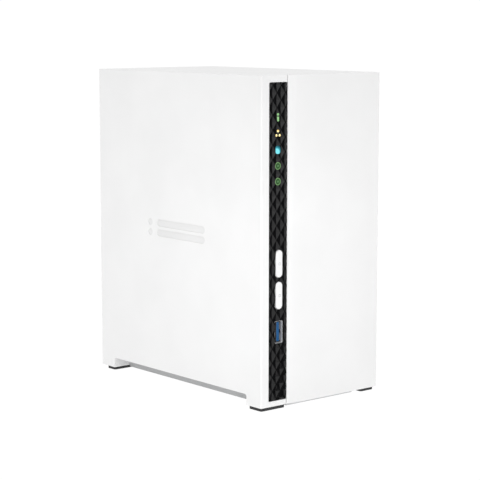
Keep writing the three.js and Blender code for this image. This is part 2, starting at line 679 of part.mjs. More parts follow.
// A frame that hangs a drive in its bay: a bridge over the top and two rails on each side.
function driveCarrier(bay) {
  const bridge = { half: BAY_HALF - 0.3, z: [CAGE.top + GAP, CAGE.top + 2], y: [-66, 30] };
  const rail = { thick: 1.8, clear: 0.5, width: 14, bottom: 40 };
  const railLeft = bay - DRIVE.thick / 2 - rail.clear - rail.thick;
  const railRight = bay + DRIVE.thick / 2 + rail.clear;
  const rails = [railLeft, railRight].flatMap((x) =>
    [bridge.y[0], bridge.y[1] - rail.width].map((y) =>
      block([x, x + rail.thick], [y, y + rail.width], [rail.bottom, bridge.z[0] + JOIN]),
    ),
  );
  const top = block(span(bay, 2 * bridge.half), bridge.y, bridge.z);
  const lightening = prism("z", rounded(span(bay, 14), [-46, 10], 3), [CAGE.top, CAGE.top + OVER]);
  const pull = block(span(bay, 18), [-60, -57.5], [bridge.z[1] - JOIN, bridge.z[1] + 3]);
  return join(cut(top, lightening), pull, ...rails);
}

function drives() {
  const each = Object.entries(DRIVES).map(([name, bay]) => [
    piece(`${name}_body`, driveBody(bay), CAST_ALUMINIUM),
    piece(`${name}_lid`, driveLid(bay), STEEL),
    piece(`${name}_board`, driveBoard(bay), GREEN_BOARD),
    piece(`${name}_carrier`, driveCarrier(bay), BLACK_PLASTIC),
  ]);
  return assembly(piece("drive_cage", driveCage(), STEEL), ...each);
}

// Cooling ----------------------------------------------------------------------------------------
function fanFrame() {
  const { x, z, side, front, back, bore } = FAN;
  const flange = 3.5;
  const centre = [x, z];
  const square = rounded(span(x, side), span(z, side), 4);
  const ends = [[front, front + flange], [back - flange, back]];
  const duct = rod("y", centre, side / 2, [front, back], 32);
  const shell = cut(
    join(duct, ...ends.map((reach) => prism("y", square, reach))),
    rod("y", centre, bore, [front - OVER, back + OVER], 32),
    ...fanScrewPlaces().map(([, place]) =>
      rod("y", place, SCREW.hole, [front - OVER, back + OVER], 12),
    ),
  );
  const motorMount = rod("y", centre, 12.4, [back - 3, back - 0.5], 24);
  const arms = [
    block(span(x, 3), [back - 3, back - 0.5], span(z, 2 * bore + 1)),
    block(span(x, 2 * bore + 1), [back - 3, back - 0.5], span(z, 3)),
  ];
  return join(shell, motorMount, ...arms);
}

function fanRotor() {
  const { x, z, front, back } = FAN;
  const reach = [front + 2, back - 4.5];
  const middle = (reach[0] + reach[1]) / 2;
  const blade = { count: 7, length: 18, chord: 17, thick: 1.3, pitch: 0.68, out: 19 };
  const tips = rod("y", [x, z], 27.6, reach, 40);
  const blades = Array.from({ length: blade.count }, (_, i) => {
    const plate = new THREE.BoxGeometry(blade.length, blade.chord, blade.thick);
    plate.rotateX(blade.pitch);
    plate.translate(blade.out, 0, 0);
    plate.rotateY((2 * Math.PI * i) / blade.count);
    return solidOf(plate.translate(x, middle, z));
  });
  return join(rod("y", [x, z], 12.4, reach, 24), ...blades).intersect(tips);
}

// A low-headed screw from outside the rear panel.
function rearScrew(place) {
  const headFront = PANEL.back + GAP;
  const head = prism("y", polygon(...place, SCREW.head, 16), [headFront, headFront + SCREW.headThick]);
  const socket = prism("y", polygon(...place, 1.2, 6), [headFront + 0.5, headFront + OVER]);
  return cut(join(head, rod("y", place, SCREW.shank, [SCREW.tip, headFront + JOIN], 12)), socket);
}

// The fan's lead: out of the top of its frame and over to the plug on the board.
const PLUG = { x: [BOARD.right + GAP, BOARD.right + 5.3], y: [46, 54], z: [157, 163] };

function fanLead() {
  const radius = 1;
  const leadX = FAN.x - 27;
  const plugX = (PLUG.x[0] + PLUG.x[1]) / 2;
  const plugZ = (PLUG.z[0] + PLUG.z[1]) / 2;
  const route = new THREE.CatmullRomCurve3([
    new THREE.Vector3(leadX, 64, FAN.z + FAN.side / 2 + GAP),
    new THREE.Vector3(leadX, 64, FAN.z + FAN.side / 2 + 5),
    new THREE.Vector3(leadX - 2, 64, plugZ - 2),
    new THREE.Vector3(plugX, 60, plugZ),
    new THREE.Vector3(plugX, PLUG.y[1] + GAP, plugZ),
  ]);
  const section = polygon(0, 0, radius, 8);
  return solidOf(new THREE.ExtrudeGeometry(section, { steps: 12, extrudePath: route }));
}

function cooling() {
  return assembly(
    piece("fan_frame", fanFrame(), BLACK_PLASTIC),
    piece("fan_rotor", fanRotor(), BLACK_PLASTIC),
    fanScrewPlaces().map(([name, place]) => piece(`fan_screw_${name}`, rearScrew(place), STEEL)),
    Object.entries(COVER_SCREWS).map(([name, place]) =>
      piece(`cover_screw_${name}`, rearScrew(place), STEEL),
    ),
    piece("fan_lead", fanLead(), BLACK_PLASTIC),
    piece("fan_plug", block(PLUG.x, PLUG.y, PLUG.z), WHITE_PLASTIC),
  );
}

export default assembly(housing(), frontControls(), electronics(), drives(), cooling());
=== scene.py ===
"""The looks of a two-bay desktop network storage unit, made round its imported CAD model.

Lengths are in metres. +X is right seen from the front, the front faces -Y and +Z is up.
"""

import math

import bmesh
import bpy
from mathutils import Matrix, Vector


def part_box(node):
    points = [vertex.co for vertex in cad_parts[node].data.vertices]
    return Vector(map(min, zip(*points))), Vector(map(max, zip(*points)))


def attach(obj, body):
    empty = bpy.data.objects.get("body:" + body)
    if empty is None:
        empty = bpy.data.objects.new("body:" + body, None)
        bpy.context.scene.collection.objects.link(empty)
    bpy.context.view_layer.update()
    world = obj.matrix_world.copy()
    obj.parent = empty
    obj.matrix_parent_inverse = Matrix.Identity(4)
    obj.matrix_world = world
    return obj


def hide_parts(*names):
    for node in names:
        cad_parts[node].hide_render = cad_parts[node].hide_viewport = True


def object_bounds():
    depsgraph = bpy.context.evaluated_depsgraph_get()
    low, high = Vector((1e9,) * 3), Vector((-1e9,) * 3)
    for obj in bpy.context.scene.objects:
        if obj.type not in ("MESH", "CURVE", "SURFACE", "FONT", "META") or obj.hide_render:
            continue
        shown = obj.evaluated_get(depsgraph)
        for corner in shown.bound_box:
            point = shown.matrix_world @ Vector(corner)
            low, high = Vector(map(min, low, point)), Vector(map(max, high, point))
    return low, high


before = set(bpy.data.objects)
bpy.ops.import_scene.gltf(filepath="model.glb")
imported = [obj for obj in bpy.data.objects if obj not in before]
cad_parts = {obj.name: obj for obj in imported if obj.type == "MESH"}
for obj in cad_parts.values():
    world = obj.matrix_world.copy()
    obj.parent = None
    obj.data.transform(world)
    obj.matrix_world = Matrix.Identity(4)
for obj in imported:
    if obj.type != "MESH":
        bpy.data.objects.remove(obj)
CAD_LOW, CAD_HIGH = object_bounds()

MM = 0.001
LEFT, FRONT = CAD_LOW.x, CAD_LOW.y


# Meshes ------------------------------------------------------------------------------------------
def middle_of(node):
    low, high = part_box(node)
    return (low + high) / 2


def new_object(name, data):
    made = bpy.data.objects.new(name, data)
    bpy.context.scene.collection.objects.link(made)
    return made


def object_of(name, bm):
    """An object from a bmesh, with its faces turned outwards."""
    bmesh.ops.recalc_face_normals(bm, faces=bm.faces)
    mesh = bpy.data.meshes.new(name)
    bm.to_mesh(mesh)
    bm.free()
    return new_object(name, mesh)


def shaped(made, operation, others):
    """Cuts the object by, joins it with or keeps it inside each of the others, which are used up."""
    for other in others:
        step = made.modifiers.new("shape", "BOOLEAN")
        step.operation = operation
        step.solver = "EXACT"
        step.object = other
    graph = bpy.context.evaluated_depsgraph_get()
    mesh = bpy.data.meshes.new_from_object(made.evaluated_get(graph))
    made.modifiers.clear()
    made.data = mesh
    for other in others:
        bpy.data.objects.remove(other)


def add_loft(bm, rings, closed=False):
    """One skin through rings of equal length: closed on itself, or with a face over each end."""
    rows = [[bm.verts.new(point) for point in ring] for ring in rings]
    count = len(rows[0])
    for near, far in zip(rows, rows[1:] + rows[:1] if closed else rows[1:]):
        for i in range(count):
            j = (i + 1) % count
            bm.faces.new((near[i], near[j], far[j], far[i]))
    if not closed:
        bm.faces.new(rows[0])
        bm.faces.new(reversed(rows[-1]))


def loft(name, rings, closed=False):
    bm = bmesh.new()
    add_loft(bm, rings, closed)
    return object_of(name, bm)


def arc(centre, radius, start, end, steps):
    """Points on an arc, both ends included. Angles are in quarter turns."""
    angles = [math.pi / 2 * (start + (end - start) * i / steps) for i in range(steps + 1)]
    return [(centre[0] + radius * math.cos(a), centre[1] + radius * math.sin(a)) for a in angles]


def rounded(middle, size, radius, steps=8):
    """A rectangle with round corners, as a function of how far it is drawn in all round."""

    def outline(inset=0.0):
        r = max(radius - inset, 0.02 * MM)
        across, up = size[0] / 2 - inset - r, size[1] / 2 - inset - r
        corners = [(1, -1, -1), (1, 1, 0), (-1, 1, 1), (-1, -1, 2)]
        points = []
        for sx, sy, turn in corners:
            corner = (middle[0] + sx * across, middle[1] + sy * up)
            points += arc(corner, r, turn, turn + 1, steps)
        return points

    return outline


def circle(middle, radius, steps=48):
    """A circle, as a function of how far it is drawn in all round."""

    def outline(inset=0.0):
        return arc(middle, radius - inset, 0, 4, steps)[:-1]

    return outline


def grown(outline, extra):
    return lambda inset=0.0: outline(inset - extra)


# A point from two measures across an axis and one along it.
PLACE = {
    "x": lambda a, b, depth: Vector((depth, a, b)),
    "y": lambda a, b, depth: Vector((a, depth, b)),
}


def edge_profile(edge, steps=3):
    """(how far in, how far along) for each ring of a round edge, from its end inwards."""
    angles = [math.pi / 2 * i / steps for i in range(steps + 1)]
    return [(edge * (1 - math.sin(a)), edge * (1 - math.cos(a))) for a in angles]


def stage_rings(axis, outline, start, end, edge=0.0, far_edge=0.0, steps=3):
    """The rings of an outline pushed along an axis, with round edges at its start and its end."""
    facing = 1 if end > start else -1
    place = PLACE[axis]
    near = edge_profile(edge, steps) if edge else [(0, 0)]
    far = edge_profile(far_edge, steps) if far_edge else [(0, 0)]
    rings = [[place(a, b, start + facing * along) for a, b in outline(inset)] for inset, along in near]
    return rings + [
        [place(a, b, end - facing * along) for a, b in outline(inset)] for inset, along in reversed(far)
    ]


def add_prism(bm, axis, outline, start, end, edge=0.0, far_edge=0.0):
    add_loft(bm, stage_rings(axis, outline, start, end, edge, far_edge))


def stepped(name, axis, *stages):
    """One closed skin through stages that follow each other, each an outline pushed along."""
    return loft(name, [ring for stage in stages for ring in stage_rings(axis, *stage)])


def prism(name, axis, outline, start, end, edge=0.0, far_edge=0.0):
    bm = bmesh.new()
    add_prism(bm, axis, outline, start, end, edge, far_edge)
    return object_of(name, bm)


def add_block(bm, low, high, edge=0.08 * MM):
    """A box with eased edges, between two corners."""
    middle, size = (low + high) / 2, high - low
    outline = rounded((middle.y, middle.z), (size.y, size.z), 2 * edge, 2)
    add_prism(bm, "x", outline, low.x, high.x, edge, edge)


def turned(name, middle, profile, steps=48):
    """A skin of revolution about an axis along Y, from a profile of (radius, y)."""
    place = PLACE["y"]
    rings = [[place(a, b, y) for a, b in circle(middle, radius, steps)()] for radius, y in profile]
    return loft(name, rings)


def frame_round(name, outer, inner, start, end):
    """The frame between two outlines with as many points, pushed along Y."""
    place = PLACE["y"]
    corners = [(outer, start), (outer, end), (inner, end), (inner, start)]
    rings = [[place(a, b, y) for a, b in outline()] for outline, y in corners]
    return loft(name, rings, closed=True)


def finished(made, body, material, replaces=()):
    """Makes the object a piece: what it rides on, its finish, and the nodes that it stands for."""
    made.data.materials.clear()
    made.data.materials.append(material)
    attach(made, body)
    if replaces:
        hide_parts(*replaces)


def smoothed(made, angle=30):
    """Round faces shaded smooth, and edges sharper than the angle kept."""
    made.data.shade_smooth()
    made.data.set_sharp_from_angle(angle=math.radians(angle))
    return made


# Materials ---------------------------------------------------------------------------------------
class Finish:
    """A material with one Principled shader, and the nodes that its look needs."""

    def __init__(self, name, colour, roughness, **values):
        self.material = bpy.data.materials.new(name)
        self.material.use_nodes = True
        self.tree = self.material.node_tree
        self.shader = self.tree.nodes["Principled BSDF"]
        self.set(**{"Base Color": (*colour, 1), "Roughness": roughness}, **values)
        self.place = self.tree.nodes.new("ShaderNodeTexCoord").outputs["Object"]

    def set(self, **values):
        for socket, value in values.items():
            self.shader.inputs[socket.replace("_", " ")].default_value = value

    def link(self, source, socket):
        self.tree.links.new(source, socket)

    def to(self, socket, source):
        self.link(source, self.shader.inputs[socket])

    def node(self, kind, **values):
        made = self.tree.nodes.new(kind)
        for key, value in values.items():
            setattr(made, key, value)
        return made

    def stretched(self, scale):
        """The piece's own coordinates, drawn out by a scale for each axis."""
        mapping = self.node("ShaderNodeMapping")
        mapping.inputs["Scale"].default_value = scale
        self.link(self.place, mapping.inputs["Vector"])
        return mapping.outputs["Vector"]

    def noise(self, grain, detail=3.0, source=None):
        """Noise whose grains are about this long."""
        made = self.node("ShaderNodeTexNoise")
        made.inputs["Scale"].default_value = 1 / grain
        made.inputs["Detail"].default_value = detail
        self.link(source or self.place, made.inputs["Vector"])
        return made.outputs["Fac"]

    def ranged(self, source, low, high, near=0.3, far=0.7):
        """The source's values from near to far, spread from low to high."""
        made = self.node("ShaderNodeMapRange")
        for socket, value in zip(("From Min", "From Max", "To Min", "To Max"), (near, far, low, high)):
            made.inputs[socket].default_value = value
        self.link(source, made.inputs["Value"])
        return made.outputs["Result"]

    def ramp(self, source, *stops):
        """Colours along the source's values: each stop is (value, colour)."""
        made = self.node("ShaderNodeValToRGB")
        elements = made.color_ramp.elements
        while len(elements) < len(stops):
            elements.new(0.5)
        for element, (value, colour) in zip(elements, stops):
            element.position = value
            element.color = (*colour, 1)
        self.link(source, made.inputs["Fac"])
        return made.outputs["Color"]

    def bump(self, source, height):
        """A relief this many metres high, on top of any that is there."""
        made = self.node("ShaderNodeBump")
        made.inputs["Distance"].default_value = height
        self.link(source, made.inputs["Height"])
        normal = self.shader.inputs["Normal"]
        if normal.is_linked:
            self.link(normal.links[0].from_socket, made.inputs["Normal"])
        self.to("Normal", made.outputs["Normal"])


def tinted(colour, factor):
    return tuple(min(1.0, c * factor) for c in colour)


def moulded(name, colour, roughness, grain, relief, spread=0.015, **values):
    """Moulded plastic: a spark-eroded grain, and a faint unevenness of colour and gloss."""
    made = Finish(name, colour, roughness, **values)
    clouds = made.noise(28 * MM, 2.0)
    made.to(
        "Base Color",
        made.ramp(clouds, (0.3, tinted(colour, 1 - spread)), (0.7, tinted(colour, 1 + spread))),
    )
    fine = made.noise(grain, 2.0)
    made.to("Roughness", made.ranged(fine, roughness - 0.06, roughness + 0.06))
    made.bump(fine, relief)
    return made


WHITE = moulded(
    "white_plastic", (0.835, 0.835, 0.835), 0.36, 0.35 * MM, 0.006 * MM, IOR=1.46
).material
DARK = moulded("dark_gloss", (0.0045, 0.0045, 0.005), 0.16, 0.5 * MM, 0.001 * MM, IOR=1.56).material
GREY = moulded("grey_plastic", (0.52, 0.525, 0.53), 0.5, 0.35 * MM, 0.006 * MM).material
BLACK = moulded("black_plastic", (0.016, 0.016, 0.017), 0.5, 0.3 * MM, 0.006 * MM, 0.1).material
BLUE = moulded("blue_plastic", (0.003, 0.088, 0.25), 0.4, 0.4 * MM, 0.003 * MM, 0.05).material
RUBBER = moulded("pad_rubber", (0.028, 0.028, 0.029), 0.8, 0.25 * MM, 0.02 * MM, 0.15).material
BUTTON = moulded("button_plastic", (0.84, 0.84, 0.842), 0.38, 0.3 * MM, 0.003 * MM).material


def coated():
    """Powder coat on sheet steel, with its orange-peel surface."""
    made = moulded("powder_coat", (0.78, 0.78, 0.775), 0.48, 0.5 * MM, 0.012 * MM, 0.02)
    made.bump(made.noise(1.6 * MM, 1.0), 0.02 * MM)
    return made.material


def brushed(name, colour, roughness, along, Metallic=1.0):
    """Metal with fine lines along one axis, and a slightly uneven tone."""
    made = Finish(name, colour, roughness, Metallic=Metallic)
    scale = [9.0, 9.0, 9.0]
    scale["xyz".index(along)] = 0.3
    lines = made.noise(1.1 * MM, 4.0, made.stretched(scale))
    made.to("Roughness", made.ranged(lines, roughness - 0.1, roughness + 0.12))
    made.bump(lines, 0.004 * MM)
    clouds = made.noise(12 * MM, 2.0)
    made.to("Base Color", made.ramp(clouds, (0.3, tinted(colour, 0.9)), (0.7, tinted(colour, 1.05))))
    return made.material


def galvanised():
    """Zinc-coated sheet, with the mottled tone of its crystals."""
    colour = (0.62, 0.635, 0.65)
    made = Finish("galvanised_steel", colour, 0.38, Metallic=1.0)
    cells = made.node("ShaderNodeTexVoronoi")
    cells.inputs["Scale"].default_value = 1 / (4 * MM)
    made.link(made.place, cells.inputs["Vector"])
    tone = made.node("ShaderNodeSeparateColor")
    made.link(cells.outputs["Color"], tone.inputs["Color"])
    red = tone.outputs["Red"]
    made.to("Base Color", made.ramp(red, (0.0, tinted(colour, 0.86)), (1.0, tinted(colour, 1.06))))
    made.to("Roughness", made.ranged(red, 0.3, 0.46, 0.0, 1.0))
    return made.material


def cast():
    """Cast aluminium: a sandy skin."""
    colour = (0.5, 0.51, 0.52)
    made = Finish("cast_aluminium", colour, 0.5, Metallic=1.0)
    grains = made.noise(0.5 * MM, 4.0)
    made.to("Roughness", made.ranged(grains, 0.42, 0.62))
    made.bump(grains, 0.03 * MM)
    clouds = made.noise(15 * MM, 3.0)
    made.to("Base Color", made.ramp(clouds, (0.3, tinted(colour, 0.88)), (0.7, tinted(colour, 1.08))))
    return made.material


def solder_mask():
    """Green lacquer, with the faint relief of the tracks beneath it."""
    colour = (0.012, 0.085, 0.04)
    made = Finish("solder_mask", colour, 0.3)
    tracks = made.node("ShaderNodeTexBrick")
    made.link(made.stretched((0, 320, 320)), tracks.inputs["Vector"])
    tracks.inputs["Color1"].default_value = (*colour, 1)
    tracks.inputs["Color2"].default_value = (*tinted(colour, 1.35), 1)
    tracks.inputs["Mortar"].default_value = (*tinted(colour, 1.9), 1)
    tracks.inputs["Scale"].default_value = 1.0
    tracks.inputs["Mortar Size"].default_value = 0.04
    made.to("Base Color", tracks.outputs["Color"])
    made.bump(tracks.outputs["Fac"], 0.03 * MM)
    made.to("Roughness", made.ranged(made.noise(3 * MM), 0.24, 0.4))
    return made.material


POWDER_COAT = coated()
STEEL = brushed("plated_steel", (0.66, 0.665, 0.67), 0.4, "y")
SCREW_STEEL = brushed("screw_steel", (0.5, 0.5, 0.51), 0.34, "z")
SHEET = galvanised()
ALUMINIUM = cast()
BOARD = solder_mask()
GOLD = brushed("gold_contact", (0.83, 0.58, 0.23), 0.28, "y")
PORT_STEEL = brushed("port_plating", (0.62, 0.625, 0.635), 0.42, "y", Metallic=0.6)
MARK = moulded("mark_plastic", (0.76, 0.76, 0.76), 0.45, 0.3 * MM, 0.003 * MM).material
SYMBOL = moulded("symbol_grey", (0.5, 0.5, 0.51), 0.5, 0.3 * MM, 0.002 * MM).material
RED = moulded("red_wire", (0.42, 0.02, 0.015), 0.4, 0.4 * MM, 0.002 * MM, 0.06).material
YELLOW = moulded("yellow_wire", (0.62, 0.43, 0.03), 0.4, 0.4 * MM, 0.002 * MM, 0.06).material
CERAMIC = moulded("ceramic", (0.42, 0.33, 0.22), 0.45, 0.5 * MM, 0.004 * MM, 0.1).material
LABEL = moulded("blank_label", (0.62, 0.62, 0.6), 0.55, 0.6 * MM, 0.004 * MM).material


def lit(name, colour, point, reach, *stops):
    """A clear moulding lit from behind. Its glow changes with the distance from a point."""
    made = Finish(name, colour, 0.35)
    made.to("Roughness", made.ranged(made.noise(0.6 * MM, 2.0), 0.25, 0.5))
    distance = made.node("ShaderNodeVectorMath", operation="DISTANCE")
    made.link(made.place, distance.inputs[0])
    distance.inputs[1].default_value = point
    spread = made.ranged(distance.outputs["Value"], 0.0, 1.0, 0.0, reach)
    made.to("Emission Color", made.ramp(spread, *stops))
    made.set(**{"Emission Strength": 1.0})
    return made.material


# Camera, light and floor -------------------------------------------------------------------------
CAMERA_AZIMUTH, CAMERA_ELEVATION = math.radians(-39.79), math.radians(7.87)
CAMERA_DISTANCE = 971.01 * MM
CAMERA_LENS = 119.12  # in millimetres, as the camera counts it
CAMERA_AIM = (CAD_LOW + CAD_HIGH) / 2 + Vector((4.05, 0, -9.04)) * MM


def camera():
    across = math.cos(CAMERA_ELEVATION)
    back = Vector(
        (
            math.sin(CAMERA_AZIMUTH) * across,
            -math.cos(CAMERA_AZIMUTH) * across,
            math.sin(CAMERA_ELEVATION),
        )
    )
    made = new_object("camera", bpy.data.cameras.new("camera"))
    made.data.lens = CAMERA_LENS
    made.location = CAMERA_AIM + back * CAMERA_DISTANCE
    made.rotation_mode = "QUATERNION"
    made.rotation_quaternion = (-back).to_track_quat("-Z", "Y")
    bpy.context.scene.camera = made


KEY_PLACE, KEY_AIM = Vector((-0.32, -0.43, 0.03)), Vector((-0.035, -0.075, 0.045))
KEY_SIDE = 0.2
KEY_POWER = 0.078
KEY_SPREAD = math.radians(44)


def key_light():
    """A soft square light low beside the camera, turned to the foot of the front left edge."""
    light = bpy.data.lights.new("key", "AREA")
    light.shape = "RECTANGLE"
    light.size = light.size_y = KEY_SIDE
    light.energy = KEY_POWER
    light.spread = KEY_SPREAD
    made = new_object("key", light)
    made.location = KEY_PLACE
    made.rotation_mode = "QUATERNION"
    made.rotation_quaternion = (KEY_AIM - KEY_PLACE).to_track_quat("-Z", "Y")
    made.visible_camera = False


SKY = ((0.0, 1.0), (0.03, 1.0), (0.2, 0.66), (0.5, 0.8), (0.9, 1.2))  # (height, brightness)
SKY_STRENGTH = 1.04


def tent():
    """A sky that is white at the horizon and overhead, and greyer between."""
    world = bpy.data.worlds.new("tent")
    world.use_nodes = True
    nodes, links = world.node_tree.nodes, world.node_tree.links
    split = nodes.new("ShaderNodeSeparateXYZ")
    links.new(nodes.new("ShaderNodeTexCoord").outputs["Generated"], split.inputs["Vector"])
    fade = nodes.new("ShaderNodeValToRGB")
    stops = fade.color_ramp.elements
    while len(stops) < len(SKY):
        stops.new(0.5)
    for stop, (height, grey) in zip(stops, SKY):
        stop.position, stop.color = height, (grey, grey, grey, 1)
    links.new(split.outputs["Z"], fade.inputs["Fac"])
    links.new(fade.outputs["Color"], nodes["Background"].inputs["Color"])
    nodes["Background"].inputs["Strength"].default_value = SKY_STRENGTH
    bpy.context.scene.world = world


GREY_GLOW = 0.65  # how bright the low grey cards are, which the foot of the strip mirrors
UNDER_GLOW = 0.5  # how bright the floor is under the unit, as its underside sees it
FLOOR_GLOW = 1.0
FLOOR_HALF = 6.0


def glowing(name, corners, colour, glow):
    """A flat sheet with an even glow, which isn't part of the object."""
    bm = bmesh.new()
    bm.faces.new([bm.verts.new(corner) for corner in corners])
    made = object_of(name, bm)
    look = {"Specular IOR Level": 0.0, "Emission Color": (1, 1, 1, 1), "Emission Strength": glow}
    made.data.materials.append(Finish(name, (colour, colour, colour), 1.0, **look).material)
    return made


def card(name, corners, glow, for_gloss):
    """A black card or a glowing one, which only reflections see, or only diffuse light."""
    made = glowing(name, corners, 0.0, glow)
    made.visible_camera = made.visible_shadow = False
    made.visible_transmission = made.visible_volume_scatter = False
    made.visible_diffuse = not for_gloss
    made.visible_glossy = for_gloss


def level_corners(low, high, z):
    return [(low[0], low[1], z), (high[0], low[1], z), (high[0], high[1], z), (low[0], high[1], z)]


def studio():
    """A white tent: a pale sky, a glowing white floor, and one soft light beside the camera."""
    tent()
    key_light()
    floor = level_corners((-FLOOR_HALF, -FLOOR_HALF), (FLOOR_HALF, FLOOR_HALF), 0)
    glowing("floor", floor, 0.03, FLOOR_GLOW)

    inset = Vector((5 * MM, 5 * MM, 0))
    under = level_corners(CAD_LOW + inset, CAD_HIGH - inset, 0.2 * MM)
    card("shade_under_the_unit", under, UNDER_GLOW, False)

    # What the strip mirrors: black cards to the right of a line that leaves it at 30 degrees, and
    # low grey ones to the left of that line.
    start = Vector((middle_of("bezel_strip").x, FRONT - 5 * MM, 0.5 * MM))
    reach, width, height, low_height = 0.34, 0.9, 0.5, 0.13
    edge = start + Vector((reach * math.tan(math.radians(30)), -reach, 0))
    across, up, low_up = Vector((width, 0, 0)), Vector((0, 0, height)), Vector((0, 0, low_height))
    near_left, far_left = start - Vector((0.07, 0, 0)), edge - Vector((0.2, 0, 0))
    card("flag_standing", [edge, edge + across, edge + across + up, edge + up], 0.0, True)
    card("flag_lying", [start, start + across, edge + across, edge], 0.0, True)
    card("grey_standing", [far_left, edge, edge + low_up, far_left + low_up], GREY_GLOW, True)
    card("grey_lying", [near_left, start, edge, far_left], GREY_GLOW, True)

    view = bpy.context.scene.view_settings
    view.view_transform = "Standard"
    view.look = "None"


# CAD nodes that keep their shape -----------------------------------------------------------------
EASED = 0.12 * MM


def refined(node, material):
    """Keeps a CAD node as it is, with its sharp edges eased, and gives it its finish."""
    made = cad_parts[node]
    made.data.materials.clear()
    made.data.materials.append(material)
    made.data.shade_smooth()
    weld = made.modifiers.new("weld", "WELD")
    weld.merge_threshold = 0.001 * MM
    flat = made.modifiers.new("flat", "DECIMATE")
    flat.decimate_type = "DISSOLVE"
    flat.angle_limit = math.radians(0.5)
    ease = made.modifiers.new("ease", "BEVEL")
    ease.width = EASED
    ease.segments = 2
    ease.limit_method = "ANGLE"
    ease.angle_limit = math.radians(35)
    ease.use_clamp_overlap = False
    closing = made.modifiers.new("closing", "WELD")
    closing.merge_threshold = 0.003 * MM
    normals = made.modifiers.new("normals", "WEIGHTED_NORMAL")
    normals.keep_sharp = False
    normals.weight = 100


CARRIED = {
    "left_shell": (WHITE, "white_plastic"),
    "right_cover": (WHITE, "white_plastic"),
    "base_tray": (GREY, "grey_plastic"),
    "rear_panel": (POWDER_COAT, "white_metal"),
    "front_left_foot": (RUBBER, "pad_rubber"),
    "rear_left_foot": (RUBBER, "pad_rubber"),
    "front_right_foot": (RUBBER, "pad_rubber"),
    "rear_right_foot": (RUBBER, "pad_rubber"),
    "power_switch": (BLACK, "black_plastic"),
    "copy_switch": (BLACK, "black_plastic"),
    "main_board": (BOARD, "circuit_board"),
    "heat_sink": (ALUMINIUM, "cast_aluminium"),
    "memory_chip_a": (BLACK, "black_plastic"),
    "memory_chip_b": (BLACK, "black_plastic"),
    "network_jack": (STEEL, "port_steel"),
    "reset_button": (BLACK, "black_plastic"),
    "reset_switch": (BLACK, "black_plastic"),
    "backplane_board": (BOARD, "circuit_board"),
    "drive_cage": (SHEET, "sheet_steel"),
    "fan_plug": (BUTTON, "white_plastic"),
}
for bay in ("drive_1", "drive_2"):
    CARRIED[f"{bay}_socket"] = (BLACK, "black_plastic")
    CARRIED[f"{bay}_carrier"] = (BLACK, "black_plastic")
    CARRIED[f"{bay}_body"] = (ALUMINIUM, "cast_aluminium")
    CARRIED[f"{bay}_lid"] = (SHEET, "sheet_steel")
    CARRIED[f"{bay}_board"] = (BOARD, "circuit_board")


# The strip ---------------------------------------------------------------------------------------
LOZENGE = {"half_width": 3.05 * MM, "half_height": 4.105 * MM, "depth": 0.45 * MM}
LOZENGE_PHASE = (LEFT + 8.2 * MM, 113.1 * MM)  # the middle of one pit
SOFT_RIDGE = 0.07 * MM


def lozenge_sheet(low, high):
    """A slab whose front is sunk in four-sided pits, edge to edge, over the box from low to high."""
    across, up = LOZENGE["half_width"], LOZENGE["half_height"]
    columns = range(
        math.floor((low.x - LOZENGE_PHASE[0]) / across) - 1,
        math.ceil((high.x - LOZENGE_PHASE[0]) / across) + 2,
    )
    rows = range(
        math.floor((low.z - LOZENGE_PHASE[1]) / up) - 1,
        math.ceil((high.z - LOZENGE_PHASE[1]) / up) + 2,
    )
    bm = bmesh.new()
    at = {}
    for i in columns:
        for j in rows:
            sunk = LOZENGE["depth"] if (i + j) % 2 == 0 else 0.0
            place = (LOZENGE_PHASE[0] + i * across, low.y + sunk, LOZENGE_PHASE[1] + j * up)
            at[i, j] = bm.verts.new(place)
    for i in columns[:-1]:
        for j in rows[:-1]:
            a, b, c, d = at[i, j], at[i + 1, j], at[i + 1, j + 1], at[i, j + 1]
            halves = [(a, b, d), (b, c, d)] if (i + j) % 2 == 0 else [(a, b, c), (a, c, d)]
            for half in halves:
                bm.faces.new(half)
    inner = [edge for edge in bm.edges if len(edge.link_faces) == 2]
    bmesh.ops.bevel(bm, geom=inner, offset=SOFT_RIDGE, segments=2, affect="EDGES", profile=0.5)
    rim = [edge for edge in bm.edges if len(edge.link_faces) == 1]
    walls = bmesh.ops.extrude_edge_only(bm, edges=rim)["geom"]
    back = [v for v in walls if isinstance(v, bmesh.types.BMVert)]
    for vertex in back:
        vertex.co.y = high.y + 1 * MM
    rear = [e for e in walls if isinstance(e, bmesh.types.BMEdge) and len(e.link_faces) == 1]
    bmesh.ops.contextual_create(bm, geom=rear)
    return object_of("lozenges", bm)


# A drive's light is a disc, with a groove between its ring and its middle dot.
DRIVE_LIGHT = {"disc": 2.05 * MM, "groove_out": 1.65 * MM, "groove_in": 0.65 * MM, "groove": 0.35 * MM}


def light_outlines(name):
    """The shapes that a light guide shows, as outlines."""
    middle = middle_of(f"{name}_light_guide")

    def at(across, up):
        return middle.x + across * MM, middle.z + up * MM

    if name == "status":
        return [circle(at(0, 1.6), 0.7 * MM), rounded(at(0, -0.95), (1.35 * MM, 2.7 * MM), 0.6 * MM)]
    if name == "network":
        dots = ((0, 1.3), (-1.2, -1.1), (1.2, -1.1))
        return [circle(at(across, up), 0.7 * MM) for across, up in dots]
    if name == "usb":
        return [rounded(at(0, 0), (3.6 * MM, 4.6 * MM), 1.5 * MM)]
    return [circle(at(0, 0), DRIVE_LIGHT["disc"])]


LIGHTS = ("status", "network", "usb", "drive_1", "drive_2")
BUTTONS = ("power_button", "copy_button")
BUTTON_FLANGE = 0.8 * MM
ALMOST_ROUND = 2.02  # a corner of width / 2 would leave edges with no length


def button_outline(node):
    low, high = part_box(node)
    middle = (low + high) / 2
    width, height = (high.x - low.x) - 2 * BUTTON_FLANGE, (high.z - low.z) - 2 * BUTTON_FLANGE
    return rounded((middle.x, middle.z), (width, height), width / ALMOST_ROUND, 12)


